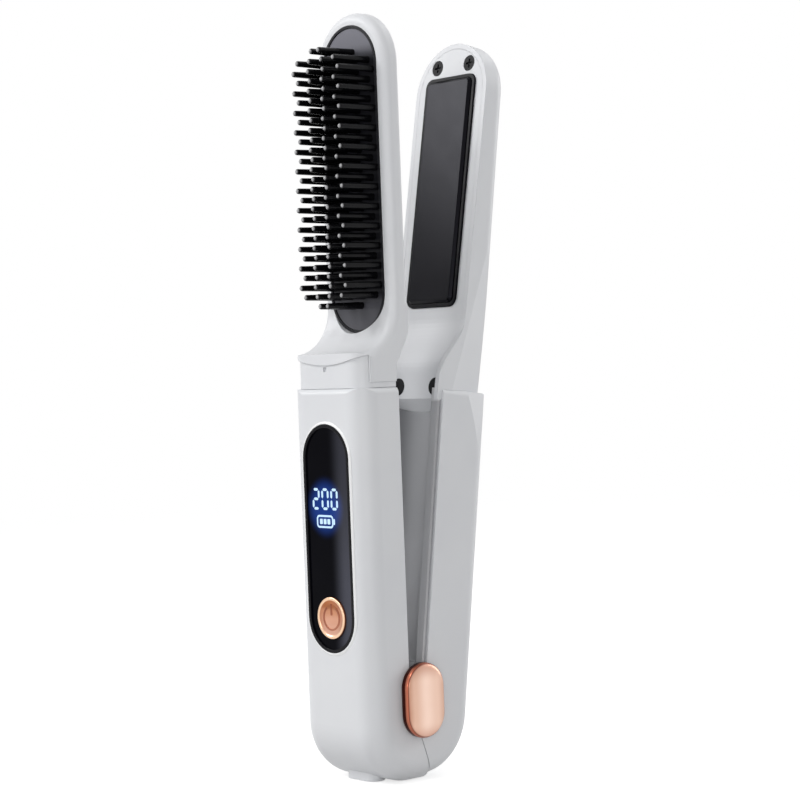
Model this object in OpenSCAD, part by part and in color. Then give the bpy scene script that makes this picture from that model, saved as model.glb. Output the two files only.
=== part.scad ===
// Folding cordless hair straightener with a comb on its front arm, standing open.
// x runs along the hinge, y from the comb side to the back, z up the front arm.
// Inside the modules y = 0 is the front face of the front handle; front() and the
// rear frames then put the origin at the middle of the charging port's flat foot.

/* [Handle] */
// Width of both handle halves
handle_w = 30.6; // [30:0.2:33]
// Depth of the front handle at its side edges
front_d = 13.8; // [13.6:0.2:15]
// Depth of the rear handle shell behind its inner cover
rear_d = 18; // [17:0.5:20]
// Height of the shoulders above the control panel
shoulder_up = 9.6; // [9:0.2:13]
// Radius of the front handle's upright corners
front_r = 6.2; // [5:0.2:7]
// Radius of the rear handle's upright corners
back_r = 4.4; // [3.6:0.2:6]
// Radius of the rounded heel below the front handle
heel_r = 16; // [15.6:0.1:16.6]
// Radius of the rounded heel below the rear handle
rear_heel_r = 16.5; // [16:0.1:17]
// Wall of the plastic shells
wall = 1.8; // [1.5:0.1:2]
// How far the necks are set in from the handles
shoulder_step = 1; // [0.6:0.1:1.2]
// Radius that rounds the shoulders over
shoulder_r = 1.6; // [0.8:0.1:1.7]
// How far the head's sides lap down over the collar, above the shoulders
lap_up = 1.5; // [1:0.1:2]
// How far behind the front face the head's sides begin to lap the collar
lap_back = 4.6; // [4.4:0.1:6]
// Clearance at the seams of the covers
seam = 0.04; // [0.02:0.01:0.1]
// Angle of the facets on the rear arm's back corners, degrees
facet = 14; // [8:1:16]
// Radius of the long curve where a facet meets the rear handle's side
facet_r = 78; // [70:1:90]

/* [Hinge] */
// Opening of the plates in the standing pose, degrees
open_angle = 9.9; // [6:0.1:10]
// Angle between the rear plate and the rear handle, degrees
head_tilt = 2.3; // [2:0.1:2.6]
// Height of the hinge pin
pivot_z = 22.4; // [21.8:0.2:23.2]
// Distance of the hinge pin behind the front handle's side edge
pivot_set = 3.4; // [3.2:0.1:3.6]
// Diameter of the hinge pin
pin_d = 4; // [3:0.2:4.6]
// Radial running clearance on the pin
pin_fit = 0.05; // [0.03:0.01:0.1]
// Radius of the hinge eyes
eye_r = 5.2; // [4.8:0.1:5.4]
// Width of the hinge cap
cap_w = 13.6; // [12.8:0.1:14]
// Height of the hinge cap
cap_h = 20.6; // [18:0.2:22]
// How far the hinge cap stands out of the handle
cap_out = 3.6; // [2.4:0.1:4.4]
// Depth of the channel in the rear handle
scoop_d = 7.6; // [6:0.2:7.8]
// Radius across the channel's hollow floor
scoop_r = 46; // [34:1:80]
// Wire of the torsion spring
spring_wire = 1.1; // [0.8:0.1:1.3]
// Turns of the torsion spring
spring_turns = 6; // [4:1:7]

/* [Heads] */
// How far the heads' sides are set in from the handles' sides
head_set = 0.6; // [0.4:0.1:0.9]
// How far the front head's tip reaches past the plates
tip_past = 13; // [12.5:0.5:17]
// How much lower the rear head's tip ends
tip_drop = 2; // [1:0.5:3]
// Depth of the comb's face behind the handle's front face
comb_set = 13.6; // [13.2:0.1:14]
// Thickness of the front head
front_head_t = 5.1; // [5:0.1:5.6]
// Thickness of the rear head at its tip
rear_head_t = 7.8; // [7:0.1:8.4]
// Taper of the rear head's back, degrees
back_taper = 1.5; // [0.8:0.1:1.6]
// Radius of the front head's edges
head_r = 2.4; // [2:0.1:2.5]
// Height of the collar, from the shoulders to its scalloped edge
collar_h = 6.4; // [5.8:0.1:7]
// Radius of the collar's scalloped top edge
scallop_r = 44; // [38:1:60]
// Wall of the head shells
head_wall = 1.5; // [1.3:0.1:1.7]

/* [Plates] */
// Width of a heating plate
plate_w = 18.2; // [16:0.2:19]
// Length of a heating plate
plate_l = 65; // [60:1:66]
// Height of the plates' lower ends above the collar
plate_up = 18.9; // [17.9:0.5:20]
// How far a plate stands out of its head
plate_out = 1.5; // [1.3:0.1:1.7]
// Gap left between the closed plates
plate_gap = 0.35; // [0.3:0.05:0.5]
// Corner radius of a plate
plate_r = 1.6; // [1.2:0.2:3]
// Bevel along a plate's face
plate_bevel = 0.7; // [0.4:0.1:0.9]
// Width of the heat-proof frame round a plate
frame_rim = 1.1; // [0.9:0.1:1.3]
// Travel of the sprung rear plate
plate_travel = 0.6; // [0.4:0.1:0.7]
// Clearance round the sprung plate
plate_fit = 0.1; // [0.05:0.01:0.12]

/* [Comb] */
// Width of the comb base
comb_w = 22.6; // [21.6:0.2:23.4]
// How much longer the comb base is than the plates
comb_longer = 19.8; // [16:0.2:20.4]
// Distance of the comb base's top from the head's tip
comb_below = 3.5; // [3:0.1:4.5]
// Width of the raised rim round the comb base
comb_rim = 0.7; // [0.5:0.1:1]
// Length of a tooth
tooth_l = 13; // [9:0.5:13]
// Diameter of a tooth at its root
tooth_d = 2; // [1.6:0.1:2.1]
// Distance between rows of teeth
tooth_row = 2.68; // [2.5:0.02:3.2]
// How far the narrow rows stay inside the wide ones
tooth_set = 1.8; // [1:0.1:2.4]
// Half the distance between the two teeth of an end row
tooth_end = 1.6; // [1.4:0.1:3]

/* [Controls] */
// Width of the control panel
panel_w = 19.2; // [18:0.2:20]
// Length of the control panel
panel_l = 62.6; // [58:0.2:66]
// Height of the control panel's lower end
panel_foot_z = 36; // [35:0.2:38]
// Width of the panel's raised rim
rim_w = 0.9; // [0.6:0.1:1.2]
// How far the rim stands out of the handle
rim_out = 0.35; // [0.2:0.05:0.5]
// Diameter of the power button
button_d = 11.6; // [10:0.2:12.4]
// Height of the power button above the panel's lower end
button_up = 9.6; // [8.8:0.2:12]
// Depth of the dish in the power button
button_dish = 0.3; // [0.1:0.05:0.5]
// Travel of the power button
button_travel = 0.5; // [0.3:0.05:0.5]
// Gap round the power button
button_gap = 0.1; // [0.05:0.01:0.15]
// Thickness of the panel lens
lens_t = 1.6; // [1.2:0.1:1.7]
// Diameter of the battery cell
cell_d = 14; // [13:0.2:14.2]
// Length of the battery cell
cell_l = 65; // [50:1:66]
// Distance of the charging port behind the front face
port_y = 10.2; // [10:0.1:10.6]
// Clearance between seated pieces
fit = 0.1; // [0.05:0.01:0.15]

/* [Hidden] */
$fn = 64;
hw = handle_w / 2;
head_hw = hw - head_set;
head_w = 2 * head_hw;
panel_mid_z = panel_foot_z + panel_l / 2;
button_z = panel_foot_z + button_up;
shoulder_z = panel_foot_z + panel_l + shoulder_up;
seam_z = shoulder_z + lap_up;             // where the head's sides end on the collar
ledge_z = shoulder_z + collar_h;          // lowest point of the collar's scalloped edge
plate_mid_z = ledge_z + plate_up + plate_l / 2;
front_tip_z = plate_mid_z + plate_l / 2 + tip_past;
comb_l = plate_l + comb_longer;
comb_mid_z = front_tip_z - comb_below - comb_l / 2;
slack = 0.3;                              // running gap between the two arms
far = 60;                                 // longer than any cut needs

// hinge
pivot_y = front_d + pivot_set;
kink_z = pivot_z + 0.3;                   // where the front handle's edge turns back
part_slope = tan(18.2);                   // lean of the edge below the pin
ear_t = 2.5;
ear_r = eye_r + 0.7;
washer_t = 0.45;
cap_edge = 1.2;                           // rounding of the hinge cap's face
pin_out = 2;
knuckle_out = hw - ear_t - washer_t - 0.1;
knuckle_t = 3.6;

// rear handle, in its own frame
lip_y = pivot_y + 0.6;
lip_h = 1.4;
lip_in = 0.6;
groove_h = 0.6;                           // shadow groove between the cover's lip and the shell
groove_d = 0.7;
rear_edge_y = lip_y + lip_h;
rear_back_y = rear_edge_y + rear_d;
cover_t = 1.4;
collar_hw = hw - shoulder_step - wall - fit;

// heads, with the plates parallel
front_face_y = comb_set;
comb_floor_y = front_face_y + 0.5;
comb_back_y = front_face_y + 1.5;
front_inner_y = front_face_y + front_head_t;
front_plate_y = front_inner_y + plate_out;
rear_plate_y = front_plate_y + plate_gap;
rear_inner_y = rear_plate_y + plate_out;
rear_back_tip_y = rear_inner_y + rear_head_t;
front_tip_c = front_tip_z - head_hw;
rear_tip_c = front_tip_c - tip_drop;
lip_front = 0.6;                          // front of the lip over the collar
notch_w = 1.3;                            // snap notch in the collar
neck_r = front_face_y - lip_front;        // concave sweep from the lip up to the head
neck_c = ledge_z + 3.1 + neck_r;
front_bend = [ledge_z - 2.4, ledge_z + 9.9];
rear_bend = [ledge_z - 3.8, ledge_z + 13.9];
floor_bend = [ledge_z - 1, ledge_z + 14.4];
rear_lip_top_y = front_d + slack + 0.1;
rear_head_r = 3.4;
neck_strip_y = rear_lip_top_y + 6.7;      // front of the neck's facets
neck_lean = 11.9;
facet_up = 33;                            // the handle's facets begin this far below the shoulders
facet_in = 1.7;                           // and this far in from its back
plug_floor_y = rear_lip_top_y + 5;
ledge_top = [plug_floor_y, ledge_z - 8.8];
ledge_foot = [plug_floor_y + 3, ledge_z - 12.2];
frame_w = plate_w + 2 * frame_rim;
frame_l = plate_l + 2 * frame_rim;
plate_depth = 2.2;
front_rest_y = front_plate_y - plate_depth;
window_in = 1;                            // the window behind a plate is this much shorter at each end
heater_t = 0.8;
heater_in = 1;                            // how far the heaters stay inside the plates
cushion_l = 8;
cushion_in = 12.5;
fuse_w = 3;
fuse_l = 9;
plate_rest_y = rear_plate_y + plate_depth + heater_t + plate_travel + 0.3;

// electronics behind the panel
lens_y = 0.1;
lens_back = lens_y + lens_t;
button_back = lens_back + 0.8;
button_out = 0.6;
switch_h = 0.7;
board_y = button_back + button_travel + 0.3 + switch_h;
board_t = 1;
cell_y = board_y + board_t + 0.3 + cell_d / 2;
board_boss_r = 2;
board_peg_r = 1.05;
display_w = 13;
display_l = 20;
display_down = 23.6;                      // its middle, below the panel's top
cradle_wall = 4;
cradle_d = 6;
cradle_l = 6;
port_w = 8.94;
port_t = 3.16;
port_l = 7;
port_board_w = 12;
port_board_l = 9;
foot_w = 12.4;
foot_d = 5.8;
plug_x = 7.7;
plug_d = 5;
plug_z = ledge_z - 5.4;
plug_t = 1.4;
plug_shelf = 0.7;
plug_rim = 0.9;
screw_head_d = 4.4;
screw_d = 2;
screw_head_t = 1.2;
screw_boss_r = screw_d / 2 + 1;
cross_l = 2.6;                            // cross recess
cross_w = 0.6;
cover_screw_l = 3.2;
head_screw_l = 4.6;
neck_screw_l = 6.4;
head_screw_x = 6.6;
head_screw_z = plate_mid_z + plate_l / 2 + 4.4;

// ---- frames ----
module turned(angle)
    translate([0, pivot_y, pivot_z]) rotate([-angle, 0, 0]) translate([0, -pivot_y, -pivot_z])
        children();

module front() translate([0, -port_y, 0]) children();

module rear() front() turned(open_angle) children();

module rear_handle() front() turned(open_angle - head_tilt) children();

// ---- outlines ----
// Outline seen from above: front corners of radius rf, back corners of radius rb
module plan(w, y0, y1, rf, rb = 0) {
    translate([-w / 2, y0 + rf])
        square([w, y1 - y0 - rf - rb]);
    translate([-w / 2 + rf, y0]) square([w - 2 * rf, rf + 0.5]);
    for (s = [-1, 1]) translate([s * (w / 2 - rf), y0 + rf]) circle(rf);
    if (rb > 0) {
        translate([-w / 2 + rb, y1 - rb - 0.5]) square([w - 2 * rb, rb + 0.5]);
        for (s = [-1, 1]) translate([s * (w / 2 - rb), y1 - rb]) circle(rb);
    }
}

// Section swept round a heel: radius along x, width along y, outer corners rounded
module heel_section(w, outer, r) {
    translate([0, -w / 2]) square([outer - r, w]);
    translate([0, -w / 2 + r]) square([outer, w - 2 * r]);
    for (s = [-1, 1]) translate([outer - r, s * (w / 2 - r)]) circle(r);
}

module obround(w, l) {
    translate([-w / 2, -(l - w) / 2]) square([w, l - w]);
    for (s = [-1, 1]) translate([0, s * (l - w) / 2]) circle(w / 2);
}

module rounded(w, l, r) {
    translate([-w / 2, -l / 2 + r]) square([w, l - 2 * r]);
    translate([-w / 2 + r, -l / 2]) square([w - 2 * r, l]);
    for (i = [-1, 1], j = [-1, 1]) translate([i * (w / 2 - r), j * (l / 2 - r)]) circle(r);
}

// Slab between two depths, its outline drawn in x and z round a height
module slab(y0, y1, z) translate([0, y1, z]) rotate([90, 0, 0]) linear_extrude(y1 - y0) children();

// Solid of constant width whose outline is drawn in y and z
module side(w) rotate([90, 0, 90]) translate([0, 0, -w / 2]) linear_extrude(w) children();

// Rod along the hinge line
module rod(r, x0, x1) translate([x0, pivot_y, pivot_z]) rotate([0, 90, 0]) cylinder(r = r, h = x1 - x0);

function ease(t) = t * t * (3 - 2 * t);
bend_steps = 12;
// Points of a smooth bend from depth y0 to depth y1 over the heights in zr
function bend(y0, y1, zr) =
    [for (i = [0:bend_steps])
        [y0 + (y1 - y0) * ease(i / bend_steps), zr[0] + (zr[1] - zr[0]) * i / bend_steps]];
function shifted(points, dy) = [for (p = points) [p[0] + dy, p[1]]];
function reversed(points) = [for (i = [len(points) - 1:-1:0]) points[i]];

// ---- front handle ----
// Body of a handle with a rounded heel, drawn g smaller all round and open at y_open:
// its broad face is at y_out, with upright corners of radius r
module heeled_body(y_open, y_out, heel, z_heel, r, g) {
    w = handle_w - 2 * g;
    translate([0, 0, z_heel]) linear_extrude(shoulder_z - z_heel)
        mirror([0, 1]) plan(w, -y_out + g, -y_open, r - g);
    translate([0, y_out - heel, z_heel]) rotate([0, 90, 0])
        rotate_extrude(angle = 90) heel_section(w, heel - g, r - g);
    translate([0, y_out - heel, z_heel]) rotate([90, 0, 0]) linear_extrude(y_out - heel - y_open)
        mirror([0, 1]) translate([0, -1]) intersection() {
            plan_up(w, heel - g, r - g);
            translate([-far, 0]) square([2 * far, far]);
        }
}

module front_body(g) mirror([0, 1, 0]) heeled_body(-heel_r - 8, 0, heel_r, heel_r - 0.2, front_r, g);

// Flat-topped outline with two rounded corners at its far end
module plan_up(w, h, r) {
    translate([-w / 2, 0]) square([w, h - r + 1]);
    translate([-w / 2 + r, 0]) square([w - 2 * r, h + 1]);
    for (s = [-1, 1]) translate([s * (w / 2 - r), h - r + 1]) circle(r);
}

// Its children, cut to a half-width below a height
module narrowed(half, z) intersection() {
    children();
    union() {
        translate([-far, 0, z]) cube([2 * far, far, far]);
        translate([-half, 0, 0]) cube([2 * half, far, z + 1]);
    }
}

// Everything behind the front handle's edge, moved forward by g
module behind_front_edge(g) side(3 * far)
    polygon([[front_d - g, 3 * far], [front_d - g, kink_z],
        [front_d - g + (kink_z + 10) * part_slope, -10], [far, -10], [far, 3 * far]]);

// Rounds the shoulders over as seen from the front and from the side
module shoulder_cut(y0, y1, top) {
    slab(y0 - 5, y1 + 5, 0) difference() {
        translate([-far, top - shoulder_r]) square([2 * far, far]);
        translate([-hw + shoulder_r, 0]) square([handle_w - 2 * shoulder_r, top]);
        for (s = [-1, 1]) translate([s * (hw - shoulder_r), top - shoulder_r]) circle(shoulder_r);
    }
}

module front_handle_shell() color("gainsboro") front() difference() {
    union() {
        front_walls();
        at_board_pegs(wall - 0.4, board_y) circle(board_boss_r);
        at_board_pegs(wall - 0.4, board_y + board_t) circle(board_peg_r);
        for (s = [-1, 1]) rod(ear_r, s > 0 ? hw - ear_t : -hw, s > 0 ? hw : -hw + ear_t);
        translate([0, port_y, 0]) linear_extrude(wall + 1) obround_across(foot_w, foot_d);
    }
    translate([0, 0, -far]) cube([2 * far, 4 * far, 2 * far], center = true);
    shoulder_cut(0, front_d, shoulder_z);
    side(3 * far) difference() {
        translate([-5, shoulder_z - shoulder_r]) square([5 + shoulder_r, far]);
        translate([shoulder_r, shoulder_z - shoulder_r]) circle(shoulder_r);
    }
    rod(eye_r + slack, -hw + ear_t, hw - ear_t);
    rod(pin_d / 2 + 0.01, -far, far);
    slab(-5, wall + 2, panel_mid_z) obround(panel_w + 2 * fit, panel_l + 2 * fit);
    translate([0, port_y, -1]) linear_extrude(wall + 4)
        obround_across(port_w + 2 * fit, port_t + 2 * fit);
}

module front_walls() difference() {
    front_body(0);
    behind_front_edge(0);
    difference() {
        front_body(wall);
        behind_heel_wall();
    }
}

// Obround lying along x
module obround_across(w, d) rotate(90) obround(d, w);

// Wall that closes the heel below the pin, left standing when the cavity is cut
module behind_heel_wall() side(3 * far) polygon([
    [front_d - wall + (kink_z - 13) * part_slope, 13],
    [front_d - wall + (kink_z + 10) * part_slope, -10], [far, -10], [far, 13]]);

// Cover on the hidden side of the front handle, bulging round the battery
module front_inner_cover() color("gainsboro") front() {
    z0 = pivot_z + eye_r + wall + 1.2;
    z1 = shoulder_z - 0.2;
    cover_w = handle_w - 2 * wall - 2 * fit;
    b0 = panel_mid_z - cell_l / 2 - cover_t - 0.5;
    b1 = panel_mid_z + cell_l / 2 + cover_t + 0.5;
    difference() {
        union() {
            translate([-cover_w / 2, front_d - cover_t, z0]) cube([cover_w, cover_t, z1 - z0]);
            translate([0, 0, b0]) linear_extrude(b1 - b0)
                bulge(cell_d / 2 + 0.3 + cover_t, front_d - cover_t);
        }
        translate([0, 0, b0 + cover_t]) linear_extrude(b1 - b0 - 2 * cover_t)
            bulge(cell_d / 2 + 0.3, front_d - cover_t - 1);
    }
}

// Outline round the cell, behind the depth given
module bulge(r, from) intersection() {
    translate([0, cell_y]) circle(r);
    translate([-far, from]) square([2 * far, far]);
}

// Collar between handle and neck; its top edge is scalloped and carries a snap notch
module collar_ring() color("gainsboro") front() difference() {
    union() {
        translate([0, 0, shoulder_z]) linear_extrude(ledge_z + 3 - shoulder_z) collar_plan(shoulder_step);
        translate([0, 0, shoulder_z - 3]) linear_extrude(3) collar_plan(wall + fit);
    }
    translate([0, 0, shoulder_z - 4]) linear_extrude(20) collar_plan(hw - collar_hw);
    translate([-far, front_d - cover_t - fit, 0]) cube([2 * far, far, shoulder_z]);
    side(3 * far)
        polygon(concat([[front_d, 0]], front_edge(), [[front_inner_y, 2 * far], [far, 2 * far], [far, 0]]));
    scallop(0);
    translate([-far, lap_back - fit, seam_z]) cube([2 * far, far, far]);
    translate([-notch_w / 2 - 0.35, 0, ledge_z - 1.7]) cube([notch_w, shoulder_step + 0.5, 1.2]);
}

module collar_plan(g) plan(handle_w - 2 * g, g, front_inner_y + 2, front_r - g);

// Cylinder whose lower side is the scalloped edge
module scallop(g) translate([0, 3 * far, ledge_z + scallop_r]) rotate([90, 0, 0])
    cylinder(r = scallop_r - g, h = 6 * far, $fn = 96);

// ---- front head ----
// Edge of the front arm seen from the side, behind the neck
function front_edge() = concat([[front_d, shoulder_z]], bend(front_d, front_inner_y, front_bend));

// Solid front head with neck, drawn g smaller on its outer sides
module front_head_body(g) {
    y1 = front_inner_y;
    z0 = front_bend[1];
    w = head_w - 2 * g;
    r = head_r - max(g, 0);
    translate([0, 0, z0]) linear_extrude(front_tip_c - z0)
        plan(w, front_face_y + g, y1, r, g > 0 ? 0 : 1);
    translate([0, 0, front_tip_c]) rotate([90, 0, 0]) rotate_extrude(angle = 180)
        half_section(w / 2, front_face_y + g, y1, r, g > 0 ? 0 : 1);
    intersection() {
        translate([0, lip_front, neck_c]) rotate([0, 90, 0]) rotate_extrude(angle = 90)
            neck_section(w, neck_r + g, 30, r);
        translate([0, 0, shoulder_z]) linear_extrude(60)
            plan(w, lip_front + g, far, front_r - shoulder_step);
        side(3 * far) polygon(concat([[-5, shoulder_z]], front_edge(), [[y1, neck_c], [-5, neck_c]]));
    }
}

// Half of the head's section, turned about the tip's centre: radius along x, depth along -y
module half_section(w, y0, y1, rf, rb) translate([0, -y1]) {
    translate([0, rb]) square([w, y1 - y0 - rf - rb]);
    square([w - max(rf, rb), y1 - y0]);
    translate([0, y1 - y0 - rf]) square([w - rf, rf]);
    translate([w - rf, y1 - y0 - rf]) circle(rf);
    if (rb > 0) {
        square([w - rb, y1 - y0 - rf]);
        translate([w - rb, rb]) circle(rb);
    }
}

// Section of the neck, swept about the concave bend's axis: radius along x, width along y
module neck_section(w, inner, depth, r) {
    translate([inner + r, -w / 2]) square([depth - r, w]);
    translate([inner, -w / 2 + r]) square([depth, w - 2 * r]);
    for (s = [-1, 1]) translate([inner + r, s * (w / 2 - r)]) circle(r);
}

module front_head_shell() color("whitesmoke") front() difference() {
    front_head_body(0);
    difference() {
        translate([0, 1, 0]) front_head_body(head_wall);
        for (s = [-1, 1]) slab(0, front_inner_y - 1.3, head_screw_z)
            translate([s * head_screw_x, 0]) circle(screw_boss_r);
    }
    below_collar_top();
    slab(-5, comb_back_y + fit, comb_mid_z) obround(comb_w + 2 * fit, comb_l + 2 * fit);
    slab(-5, far, plate_mid_z) square([plate_w, plate_l - 2 * window_in], center = true);
    for (s = [-1, 1]) slab(front_face_y + 1.7, far, head_screw_z)
        translate([s * head_screw_x, 0]) circle(screw_d / 2);
}

// Everything below the collar's top edge: scalloped in front, level and lower at the sides
module below_collar_top() {
    difference() {
        translate([-far, -far, 0]) cube([2 * far, far + lap_back, ledge_z + 3]);
        scallop(0);
    }
    translate([-far, lap_back - 1, 0]) cube([2 * far, far, seam_z]);
}

// Cover on the plate side of the front head and neck
module front_head_cover() color("gainsboro") front() {
    w = head_w - 2 * head_wall - 2 * seam;
    t = 1.3;
    difference() {
        union() {
            narrowed(collar_hw - fit, ledge_z + 3)
                side(w) polygon(concat(shifted(front_edge(), -t), reversed(front_edge())));
            slab(front_inner_y - t, front_inner_y, 0) {
                translate([-w / 2, front_bend[1] - 0.01]) square([w, front_tip_c - front_bend[1]]);
                translate([0, front_tip_c]) circle(w / 2);
            }
        }
        slab(0, far, plate_mid_z) rounded(frame_w + 2 * fit, frame_l + 2 * fit, plate_r + frame_rim);
        for (s = [-1, 1]) slab(0, far, head_screw_z)
            translate([s * head_screw_x, 0]) circle(screw_head_d / 2 + fit);
    }
}

// ---- comb ----
module comb_base() color("dimgray") front() difference() {
    slab(front_face_y - 0.2, comb_back_y, comb_mid_z) obround(comb_w, comb_l);
    slab(-5, comb_floor_y, comb_mid_z) obround(comb_w - 2 * comb_rim, comb_l - 2 * comb_rim);
}

// Backing slice with the moulded teeth: wide and narrow rows take turns, and the two end
// rows are short to suit the rounded ends
module comb_teeth() color("black") front() {
    inner_w = comb_w - 2 * comb_rim - 2 * fit;
    inner_l = comb_l - 2 * comb_rim - 2 * fit;
    last = floor((inner_l - 0.7 * inner_w) / 2 / tooth_row + 0.5);
    wide = (inner_w - tooth_d) / 2;
    slab(comb_floor_y - 0.4, comb_floor_y, comb_mid_z) obround(inner_w, inner_l);
    for (row = [-last:last]) {
        in_row = abs(row) == last ? 2 : 4;
        outer = in_row == 2 ? tooth_end : (last - abs(row)) % 2 == 0 ? wide : wide - tooth_set;
        for (k = [0:in_row - 1])
            translate([outer * (2 * k / (in_row - 1) - 1), comb_floor_y - 0.2,
                comb_mid_z + row * tooth_row]) rotate([90, 0, 0]) tooth();
    }
}

// Slim cone with a rounded tip
module tooth() {
    tip = tooth_d * 0.4;
    rotate_extrude($fn = 24) polygon([[0, 0], [tooth_d / 2, 0], [tip, tooth_l - tip],
        [tip * 0.87, tooth_l - tip * 0.5], [tip * 0.5, tooth_l - tip * 0.13], [0, tooth_l]]);
}

module comb_heater() color("silver") front()
    slab(comb_back_y, comb_back_y + heater_t, plate_mid_z)
        square([plate_w - heater_in, plate_l - 4 * heater_in], center = true);

module insulation_sheet() color("khaki") front()
    slab(comb_back_y + heater_t, front_rest_y - heater_t, plate_mid_z)
        square([plate_w - 2 * fit, plate_l - 2 * window_in - 2 * fit], center = true);

// ---- plates ----
// Plate with bevelled face: face at y = 0, body going to +y
module bevelled_plate() hull() {
    slab(0, 0.05, 0)
        rounded(plate_w - 2 * plate_bevel, plate_l - 2 * plate_bevel, plate_r - plate_bevel, $fn = 32);
    slab(plate_bevel, plate_depth, 0) rounded(plate_w, plate_l, plate_r, $fn = 32);
}

// Frame round a plate: from y = 0 to y = depth, with a window for the plate
module plate_frame(depth) difference() {
    slab(0, depth, 0) rounded(frame_w, frame_l, plate_r + frame_rim);
    slab(-1, depth + 1, 0) rounded(plate_w + 2 * plate_fit, plate_l + 2 * plate_fit, plate_r + plate_fit);
}

module front_plate() color("darkslategray") front()
    translate([0, front_plate_y, plate_mid_z]) mirror([0, 1, 0]) bevelled_plate();

module front_plate_frame() color("black") front()
    translate([0, front_inner_y - 1.3, plate_mid_z]) plate_frame(1.3 + plate_out - plate_bevel - 0.2);

module front_plate_heater() color("silver") front()
    slab(front_rest_y - heater_t, front_rest_y, plate_mid_z)
        square([plate_w - 2 * heater_in, plate_l - 6 * heater_in], center = true);

// ---- screws ----
// Countersunk-free screw with a cross recess: head face at y = 0, shank going to +y
module screw(length) {
    difference() {
        slab(0, screw_head_t, 0) circle(screw_head_d / 2);
        for (a = [0, 90]) rotate([0, a, 0]) translate([-cross_l / 2, -0.1, -cross_w / 2])
            cube([cross_l, cross_w, cross_w]);
    }
    slab(screw_head_t - 0.1, length, 0) circle(screw_d / 2 - 0.01);
}

module front_cover_screws() color("black") front() for (s = [-1, 1])
    translate([s * head_screw_x, front_inner_y - 0.1, head_screw_z]) mirror([0, 1, 0]) screw(cover_screw_l);

// ---- control panel ----
module panel_bezel() color("black") front() difference() {
    slab(-rim_out, wall, panel_mid_z) obround(panel_w, panel_l);
    slab(-5, far, panel_mid_z) obround(panel_w - 2 * rim_w, panel_l - 2 * rim_w);
}

module panel_lens() color("black") front() difference() {
    slab(lens_y, lens_back, panel_mid_z) obround(panel_w - 2 * rim_w - 0.02, panel_l - 2 * rim_w - 0.02);
    slab(-5, far, button_z) circle(button_d / 2 + button_gap);
}

module display_module() color("navy") front()
    slab(lens_back, board_y, panel_foot_z + panel_l - display_down)
        square([display_w, display_l], center = true);

// Round button with a rounded edge and a flange behind the lens
module power_button() color("rosybrown") front() translate([0, 0, button_z]) rotate([90, 0, 0])
    rotate_extrude() polygon([[0, -button_back], [button_d / 2 + 0.5, -button_back],
        [button_d / 2 + 0.5, -lens_back - 0.3], [button_d / 2, -lens_back - 0.3], [button_d / 2, 0.25],
        [button_d / 2 - 0.15, 0.5], [button_d / 2 - 0.4, button_out], [button_d / 2 - 0.8, button_out],
        [button_d / 2 - 1.2, button_out - button_dish], [0, button_out - button_dish]]);

module button_switch() color("gray") front()
    slab(board_y - switch_h, board_y, button_z) square([4.6, 4.6], center = true);

module circuit_board() color("darkgreen") front() difference() {
    slab(board_y, board_y + board_t, panel_mid_z) square([panel_w + 3, panel_l + 12], center = true);
    at_board_pegs(0, far) circle(board_peg_r + fit / 2);
}

module at_board_pegs(y0, y1) for (i = [-1, 1], j = [-1, 1]) slab(y0, y1, panel_mid_z)
    translate([i * (panel_w / 2 - 0.5), j * (panel_l / 2 + 4)]) children();

module battery_cell() color("royalblue") front()
    translate([0, cell_y, panel_mid_z - cell_l / 2]) {
        cylinder(d = cell_d, h = cell_l - 1.2);
        cylinder(d = cell_d * 0.4, h = cell_l);
    }

// Cradle that holds the cell off the board at both ends
module battery_cradle() color("lightgray") front() for (s = [-1, 1])
    translate([0, 0, panel_mid_z + s * cell_l * 0.3]) difference() {
        translate([-cell_d / 2 - cradle_wall, board_y + board_t, -cradle_l / 2])
            cube([cell_d + 2 * cradle_wall, cradle_d, cradle_l]);
        translate([0, cell_y, -cradle_l / 2 - 1]) cylinder(d = cell_d + 2 * fit, h = cradle_l + 2);
    }

// ---- charging port ----
module port_board() color("darkgreen") front()
    translate([-port_board_w / 2, port_y - port_t / 2 - board_t, wall + 2.8])
        cube([port_board_w, board_t, port_board_l]);

// Stadium-shaped metal shell, open downwards
module charging_port() color("silver") front() translate([0, port_y, 0.3]) difference() {
    linear_extrude(port_l) obround_across(port_w, port_t);
    translate([0, 0, -1]) linear_extrude(port_l) obround_across(port_w - 0.6, port_t - 0.6);
}

module port_tongue() color("black") front() translate([0, port_y, 1]) linear_extrude(port_l - 1.7)
    square([6.6, 0.7], center = true);

// ---- hinge ----
module hinge_pin() color("silver") front() rod(pin_d / 2, -hw - pin_out, hw + pin_out);

module hinge_washers() color("white") front() for (s = [-1, 1]) difference() {
    rod(eye_r - 0.6, s > 0 ? hw - ear_t - washer_t : -hw + ear_t,
        s > 0 ? hw - ear_t : -hw + ear_t + washer_t);
    rod(pin_d / 2 + 0.02, -far, far);
}

// Thin slice of the cap's rounded face, set in from its wall and below its top
module cap_slice(inset, below) translate([0, 0, hw + cap_out - below - 0.1]) linear_extrude(0.1)
    obround(cap_w - 2 * inset, cap_h - 2 * inset, $fn = 48);

// Obround cap over the pin's end: rounded face and a step under its lip
module hinge_cap(s) front() translate([0, pivot_y, pivot_z]) mirror([s < 0 ? 1 : 0, 0, 0])
    rotate([90, 0, 90]) difference() {
        union() {
            translate([0, 0, hw]) linear_extrude(slack) circle(ear_r - 0.2);
            translate([0, 0, hw + slack]) linear_extrude(cap_out - slack - cap_edge)
                obround(cap_w, cap_h);
            hull() for (a = [0, 40, 90]) cap_slice(cap_edge * (1 - cos(a)), cap_edge * (1 - sin(a)));
        }
        translate([0, 0, hw - 1]) cylinder(d = pin_d + 0.02, h = pin_out + 1.01);
    }

module hinge_cap_left() color("rosybrown") hinge_cap(-1);

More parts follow.
